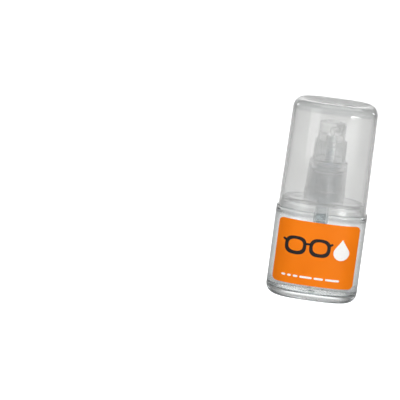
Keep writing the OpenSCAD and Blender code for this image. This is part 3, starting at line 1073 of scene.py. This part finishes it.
def label_edge(x):
    """Lowest and highest point of the label at a distance from its middle."""
    over = max(0.0, abs(x) - (LABEL_HIGH.x - LABEL_CORNER))
    cut_off = LABEL_CORNER - math.sqrt(max(0.0, LABEL_CORNER ** 2 - over ** 2))
    return LABEL_LOW.z + cut_off, LABEL_HIGH.z - cut_off


def label_columns():
    """Distances from the label's middle, closer together at its rounded corners."""
    half = LABEL_HIGH.x
    columns, corner_columns = 96, 14
    corner = []
    for k in range(corner_columns):
        a = math.pi / 2 * k / corner_columns
        corner.append(-half + LABEL_CORNER * (1 - math.cos(a)))
    middle = []
    for k in range(columns + 1):
        middle.append(-half + LABEL_CORNER + (2 * half - 2 * LABEL_CORNER) * k / columns)
    return corner + middle + [-x for x in reversed(corner)]


def rim(grid):
    """The outermost vertices of a grid of columns, in order round it."""
    around = [column[0] for column in grid] + grid[-1][1:]
    around += [column[-1] for column in reversed(grid[:-1])]
    return around + list(reversed(grid[0][1:-1]))


def make_label():
    """Label film that follows the bottle, orange in front and white behind."""
    rows = 12
    bm = bmesh.new()
    layers = []
    for out in (LABEL_FRONT, LABEL_BACK):
        grid = []
        for x in label_columns():
            low, high = label_edge(x)
            grid.append([
                bm.verts.new(on_bottle(x, low + (high - low) * i / rows, out))
                for i in range(rows + 1)
            ])
        layers.append(grid)
    front, back = layers
    for here, there in zip(front, front[1:]):
        for i in range(rows):
            bm.faces.new((here[i], there[i], there[i + 1], here[i + 1]))
    for here, there in zip(back, back[1:]):
        for i in range(rows):
            face = bm.faces.new((here[i + 1], there[i + 1], there[i], here[i]))
            face.material_index = 1
    rim_front, rim_back = rim(front), rim(back)
    count = len(rim_front)
    for i in range(count):
        j = (i + 1) % count
        bm.faces.new((rim_front[j], rim_front[i], rim_back[i], rim_back[j]))
    obj = finish_mesh("label_sheet", bm, FILM)
    obj.data.materials.append(PAPER)
    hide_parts("front_label")
    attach(obj, "bottle")


def ink(name, shapes, material):
    """Printed shapes. Each shape is a pair of loops of (x, z) points, outer and inner."""
    steps = 8
    bm = bmesh.new()
    for outer, inner in shapes:
        loops = []
        for k in range(steps + 1):
            share = k / steps
            loops.append([
                (o[0] + (i[0] - o[0]) * share, o[1] + (i[1] - o[1]) * share)
                for o, i in zip(outer, inner)
            ])
        layers = []
        for out in (INK_OUT + INK_T, INK_OUT - INK_T):
            layers.append([[bm.verts.new(on_bottle(x, z, out)) for x, z in loop] for loop in loops])
        front, back = layers
        bridge(bm, front)
        bridge(bm, back)
        bridge(bm, [front[0], back[0]])
        bridge(bm, [front[-1], back[-1]])
    obj = finish_mesh(name, bm, material)
    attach(obj, "bottle")


def squircle(cx, cz, half_w, half_h, power):
    """Loop of a superellipse on the label."""
    count = 72
    loop = []
    for i in range(count):
        x, z = oval_point(half_w, half_h, 2 * math.pi * i / count, power)
        loop.append((cx + x, cz + z))
    return loop


def shrunk(loop, share):
    """A loop drawn in towards its middle."""
    mx = sum(p[0] for p in loop) / len(loop)
    mz = sum(p[1] for p in loop) / len(loop)
    return [(mx + (x - mx) * share, mz + (z - mz) * share) for x, z in loop]


def filled(loop):
    """A printed shape with no hole: its inner loop is all but a point."""
    return (loop, shrunk(loop, 0.01))


def bar(x0, z0, x1, z1, half_t):
    """Loop round a thick line with round ends and enough points to follow the bottle's curve."""
    length = math.hypot(x1 - x0, z1 - z0)
    ux, uz = (x1 - x0) / length, (z1 - z0) / length
    end_points = 12
    side_spacing = 0.3
    side_points = max(1, round(length / side_spacing))
    spots = []
    for side in (1, -1):
        middle = length if side > 0 else 0
        for i in range(end_points + 1):
            t = math.pi * (i / end_points - 0.5)
            spots.append((middle + side * half_t * math.cos(t), side * half_t * math.sin(t)))
        for i in range(1, side_points):
            spots.append((middle - side * length * i / side_points, side * half_t))
    return [(x0 + a * ux - b * uz, z0 + a * uz + b * ux) for a, b in spots]


def spectacles(middle_z):
    """Shapes of a plain pair of spectacles: two rims, the bridge and the starts of the arms."""
    lens_w, lens_h, rim_w = 4.7, 4.1, 1.5
    left_x, right_x = -9.3, 1.4
    half_t = 0.5
    shapes = []
    for lens_x in (left_x, right_x):
        outer = squircle(lens_x, middle_z, lens_w, lens_h, 2.7)
        inner = squircle(lens_x, middle_z + 0.1, lens_w - rim_w, lens_h - rim_w, 2.5)
        shapes.append((outer, inner))
    bridge_z = middle_z + 1.2
    bridge_left = left_x + lens_w - 0.5
    bridge_right = right_x - lens_w + 0.5
    shapes.append(filled(bar(bridge_left, bridge_z, bridge_right, bridge_z, half_t)))
    for lens_x, side in ((left_x, -1), (right_x, 1)):
        arm_x = lens_x + side * lens_w
        arm = bar(arm_x - side * 0.4, bridge_z + 0.5, arm_x + side * 0.5, bridge_z + 1.0, half_t)
        shapes.append(filled(arm))
    return shapes


def drop(middle_x, middle_z):
    """Loop of a drop: a circle drawn out to a point at its top."""
    radius = 3.4
    count = 96
    narrowing = 0.75
    point_rise = 2.6
    loop = []
    for i in range(count):
        t = 2 * math.pi * i / count
        point = max(0.0, math.sin(t)) ** 3
        pull = 1 - narrowing * point
        x = middle_x + radius * math.cos(t) * pull
        z = middle_z + radius * math.sin(t) + point_rise * point
        loop.append((x, z))
    return loop


def dashes(start_x, z):
    """Shapes of a row of short dashes."""
    lengths = (0.8, 0.7, 1.1, 4.5, 3.2, 5.2)
    gap = 1.8
    half_t = 0.45
    shapes = []
    x = start_x
    for length in lengths:
        shapes.append(filled(bar(x, z, x + length, z, half_t)))
        x += length + gap
    return shapes


def make_print():
    """Plain printed marks: a pair of spectacles, a drop and a row of short white dashes."""
    middle_z = LABEL_LOW.z + 17.3
    ink("label_spectacles", spectacles(middle_z), BLACK_INK)
    ink("label_drop", [filled(drop(10.9, middle_z - 1.1))], WHITE_INK)
    ink("label_dashes", dashes(-13.4, LABEL_LOW.z + 3.6), WHITE_INK)


# ---- studio


def make_floor():
    """Pale sweep, in metres: flat under the object and curving up well behind it."""
    half_w, front, flat, radius, height = 3.0, -2.2, 1.2, 1.0, 2.5
    steps = 24
    line = [(front, 0.0), (flat, 0.0)]
    for k in range(1, steps + 1):
        a = math.pi / 2 * k / steps
        line.append((flat + radius * math.sin(a), radius * (1 - math.cos(a))))
    line.append((flat + radius, height))
    bm = bmesh.new()
    rows = [[bm.verts.new((x, y, z)) for x in (-half_w, half_w)] for y, z in line]
    for here, there in zip(rows, rows[1:]):
        bm.faces.new((here[0], here[1], there[1], there[0]))
    mesh = bpy.data.meshes.new("sweep")
    bm.to_mesh(mesh)
    bm.free()
    mesh.shade_smooth()
    mesh.materials.append(FLOOR)
    obj = new_object("sweep", mesh)


def soft_lamp(name, place, aim, width, height, watts, mirrored=True):
    """Soft box that faces the point it lights; polished faces show it if it is mirrored."""
    lamp = bpy.data.lights.new(name, "AREA")
    lamp.shape = "RECTANGLE"
    lamp.size = width
    lamp.size_y = height
    lamp.energy = watts
    obj = new_object(name, lamp)
    obj.location = place
    obj.rotation_euler = (Vector(aim) - Vector(place)).to_track_quat("-Z", "Y").to_euler()
    obj.visible_camera = False
    obj.visible_glossy = mirrored


def make_light():
    """Pale surroundings, a wide low key box, a strip to the left and soft boxes all round.

    The surroundings are white where they are seen directly and a dim grey as a light. Places
    and sizes are in metres, and powers in watts.
    """
    world = bpy.data.worlds.new("studio")
    bpy.context.scene.world = world
    world.use_nodes = True
    tree = world.node_tree
    background = tree.nodes["Background"]
    background.inputs["Color"].default_value = (1.0, 1.0, 1.0, 1)
    seen = tree.nodes.new("ShaderNodeMapRange")
    seen.inputs["To Min"].default_value = 0.21
    seen.inputs["To Max"].default_value = 1.0
    path = tree.nodes.new("ShaderNodeLightPath")
    tree.links.new(path.outputs["Is Camera Ray"], seen.inputs["Value"])
    tree.links.new(seen.outputs["Result"], background.inputs["Strength"])
    middle = (0, 0, 0.045)
    soft_lamp("key_box", (0.31, -0.68, 0.085), middle, 0.25, 0.07, 1.5)
    soft_lamp("left_strip", (-0.11, -0.26, 0.14), (0, 0, 0.08), 0.10, 0.236, 0.12)
    soft_lamp("top_box", (0.05, -0.10, 0.75), middle, 0.5, 0.4, 1.35)
    for side in (-1, 1):
        soft_lamp("front_box", (side * 0.50, -0.62, 0.36), middle, 0.4, 0.4, 1.1, mirrored=False)
        soft_lamp("side_box", (side * 0.58, 0.27, 0.34), middle, 0.10, 0.10, 0.8)


def make_camera():
    """Long lens at the photograph's angle; the object stands right of the middle, leaning."""
    view_w = 177.04 * MM
    right, up = 54.6611 * MM, 0.4426 * MM
    lens, sensor = 200.0, 36.0
    elevation = math.radians(10.5)
    azimuth = math.radians(0.0)
    lean = math.radians(7.8)
    middle = Vector((0, 0, CAP_TOP_Z / 2 * MM))
    distance = lens / sensor * view_w
    back = Vector((
        math.sin(azimuth) * math.cos(elevation),
        -math.cos(azimuth) * math.cos(elevation),
        math.sin(elevation),
    ))
    data = bpy.data.cameras.new("camera")
    data.lens = lens
    data.sensor_width = sensor
    data.clip_start = 0.05
    data.clip_end = 20
    camera = new_object("camera", data)
    facing = (-back).to_track_quat("-Z", "Y").to_matrix()
    seen_at = Vector((right / distance, up / distance, -1)).normalized()
    swing = seen_at.rotation_difference(Vector((0, 0, -1))).to_matrix()
    turn = facing @ Matrix.Rotation(lean, 3, "Z") @ swing
    camera.matrix_world = Matrix.Translation(middle + back * distance) @ turn.to_4x4()
    bpy.context.scene.camera = camera


def set_render_look():
    """Plain colour handling, and enough bounces for clear walls behind clear walls."""
    scene = bpy.context.scene
    scene.view_settings.view_transform = "Standard"
    scene.view_settings.look = "None"
    scene.cycles.max_bounces = 24
    scene.cycles.transmission_bounces = 20
    scene.cycles.transparent_max_bounces = 24
    scene.cycles.glossy_bounces = 8
    scene.cycles.diffuse_bounces = 6


make_bottle()
make_liquid()
make_overcap()
make_closure()
make_inner_thread()
make_button()
make_nozzle()
make_housing()
make_gasket()
make_tube()
make_spring()
make_label()
make_print()
for node in ("stem", "piston", "stem_retainer"):
    dress(node, GREY)
dress("poppet", MILKY)
dress("inlet_ball", STEEL)
make_floor()
make_light()
make_camera()
set_render_look()
